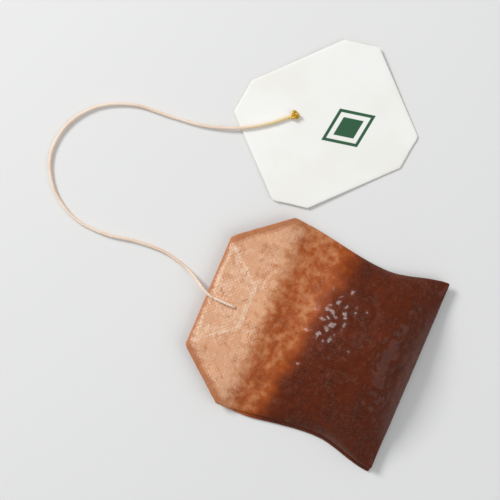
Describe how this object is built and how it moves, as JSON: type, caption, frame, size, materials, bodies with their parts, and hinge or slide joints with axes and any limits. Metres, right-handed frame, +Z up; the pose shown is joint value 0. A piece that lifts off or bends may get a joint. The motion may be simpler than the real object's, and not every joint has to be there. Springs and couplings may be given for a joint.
{
  "type": "tea bag",
  "caption": "Used two-chamber paper tea bag lying flat, with a loose thread stitched through its folded head and knotted to a bare card tag.",
  "frame": {"origin": "point of the bag's flat underside below the middle of the bag's length and width", "axes": "+Z up from the table, +Y along the bag towards its folded head, +X across the bag towards the tag"},
  "size_m": [0.0816, 0.087, 0.0094],
  "materials": {
    "wet_filter_paper": "satin",
    "wet_tea_leaves": "matte",
    "thread": "matte",
    "gold_thread": "matte",
    "white_card": "matte"
  },
  "bodies": {
    "root": {"filter_bag": "wet_filter_paper", "tea_leaves_upper": "wet_tea_leaves", "tea_leaves_lower": "wet_tea_leaves", "string_stitch": "thread", "string": "thread", "string_knot": "gold_thread", "tag": "white_card"}
  },
  "joints": []
}
